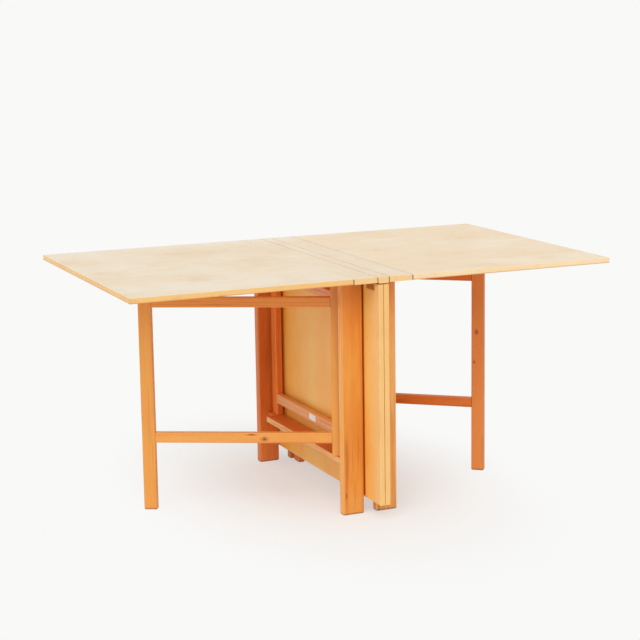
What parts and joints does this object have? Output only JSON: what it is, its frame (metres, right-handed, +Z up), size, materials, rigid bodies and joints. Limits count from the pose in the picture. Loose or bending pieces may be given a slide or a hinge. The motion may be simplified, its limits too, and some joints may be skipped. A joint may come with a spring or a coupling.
{
  "type": "butterfly folding table",
  "caption": "Butterfly folding table: slim post bases side by side, pale leaves raised on swing gate legs, and spare leaves hanging between the bases.",
  "frame": {"origin": "on the floor, under the middle of the table", "axes": "+X along the table over both raised leaves, +Y across it to the far side, +Z up"},
  "size_m": [1.5, 0.9, 0.72],
  "materials": {
    "veneered_leaf": "pale birch veneer, satin lacquer",
    "edge_lipping": "solid birch edging, satin lacquer",
    "top_strip": "solid birch, satin lacquer",
    "centre_batten": "solid birch, satin lacquer",
    "frame_wood": "aged lacquered pine, satin",
    "hinge_plate": "plain brass, slightly dull",
    "hinge_pin": "drawn steel wire",
    "pivot_pin": "turned steel pin",
    "rail_pad": "plain white nylon"
  },
  "bodies": {
    "left_half": {"left_near_post": "frame_wood", "left_far_post": "frame_wood", "left_lower_board": "frame_wood", "left_upper_board": "frame_wood", "left_top_strip": "top_strip", "left_rail_pad": "rail_pad", "left_leaf_hinge_strip_plates": "hinge_plate", "left_leaf_hinge_pins": "hinge_pin", "left_inner_leaf_hinge_strip_plates": "hinge_plate", "left_inner_leaf_hinge_pins": "hinge_pin", "left_inner_gate_leg": "frame_wood", "left_inner_gate_stile": "frame_wood", "left_inner_gate_lower_rail": "frame_wood", "left_inner_gate_top_rail": "frame_wood", "left_inner_gate_pins": "pivot_pin"},
    "left_outer_leaf": {"left_leaf": "veneered_leaf", "left_leaf_lipping": "edge_lipping", "left_leaf_hinge_leaf_plates": "hinge_plate"},
    "left_hanging_leaf": {"left_inner_leaf": "veneered_leaf", "left_inner_leaf_lipping": "edge_lipping", "left_inner_leaf_hinge_leaf_plates": "hinge_plate"},
    "left_gate": {"left_outer_gate_leg": "frame_wood", "left_outer_gate_stile": "frame_wood", "left_outer_gate_lower_rail": "frame_wood", "left_outer_gate_top_rail": "frame_wood", "left_outer_gate_pins": "pivot_pin"},
    "right_half": {"right_near_post": "frame_wood", "right_far_post": "frame_wood", "right_lower_board": "frame_wood", "right_upper_board": "frame_wood", "right_top_strip": "top_strip", "right_rail_pad": "rail_pad", "right_leaf_hinge_strip_plates": "hinge_plate", "right_leaf_hinge_pins": "hinge_pin", "right_inner_leaf_hinge_strip_plates": "hinge_plate", "right_inner_leaf_hinge_pins": "hinge_pin", "right_inner_gate_leg": "frame_wood", "right_inner_gate_stile": "frame_wood", "right_inner_gate_lower_rail": "frame_wood", "right_inner_gate_top_rail": "frame_wood", "right_inner_gate_pins": "pivot_pin"},
    "right_outer_leaf": {"right_leaf": "veneered_leaf", "right_leaf_lipping": "edge_lipping", "right_leaf_hinge_leaf_plates": "hinge_plate"},
    "right_hanging_leaf": {"right_inner_leaf": "veneered_leaf", "right_inner_leaf_lipping": "edge_lipping", "right_inner_leaf_hinge_leaf_plates": "hinge_plate"},
    "right_gate": {"right_outer_gate_leg": "frame_wood", "right_outer_gate_stile": "frame_wood", "right_outer_gate_lower_rail": "frame_wood", "right_outer_gate_top_rail": "frame_wood", "right_outer_gate_pins": "pivot_pin"},
    "loose_batten": {"centre_batten": "centre_batten"}
  },
  "joints": [
    {"name": "left_gate_swing", "type": "hinge", "parent": "left_half", "child": "left_gate", "pos_m": [-0.0715, -0.285, 0.425], "axis": [0, 0, 1], "range_deg": [-62.4, 27.6]},
    {"name": "right_gate_swing", "type": "hinge", "parent": "right_half", "child": "right_gate", "pos_m": [0.0715, 0.285, 0.425], "axis": [0, 0, 1], "range_deg": [-50.5, 39.5]},
    {"name": "left_leaf_lift", "type": "hinge", "parent": "left_half", "child": "left_outer_leaf", "pos_m": [-0.0905, 0, 0.7012], "axis": [0, 1, 0], "range_deg": [0, 4]},
    {"name": "right_leaf_lift", "type": "hinge", "parent": "right_half", "child": "right_outer_leaf", "pos_m": [0.0905, 0, 0.7012], "axis": [0, -1, 0], "range_deg": [0, 4]},
    {"name": "halves_part", "type": "slide", "parent": "left_half", "child": "right_half", "axis": [1, 0, 0], "range_m": [0, 2.1]},
    {"name": "left_hanging_leaf_raise", "type": "hinge", "parent": "left_half", "child": "left_hanging_leaf", "pos_m": [-0.0195, 0, 0.7012], "axis": [0, -1, 0], "range_deg": [0, 90]},
    {"name": "right_hanging_leaf_raise", "type": "hinge", "parent": "right_half", "child": "right_hanging_leaf", "pos_m": [0.0195, 0, 0.7012], "axis": [0, 1, 0], "range_deg": [0, 90]},
    {"name": "batten_lift", "type": "slide", "parent": "left_half", "child": "loose_batten", "axis": [0, 0, 1], "range_m": [0, 0.21]}
  ],
  "couplings": [
    {"joint": "left_hanging_leaf_raise", "follows": "halves_part", "rad_per_m": 0.7479},
    {"joint": "right_hanging_leaf_raise", "follows": "halves_part", "rad_per_m": 0.7479},
    {"joint": "batten_lift", "follows": "halves_part", "ratio": 0.1}
  ]
}
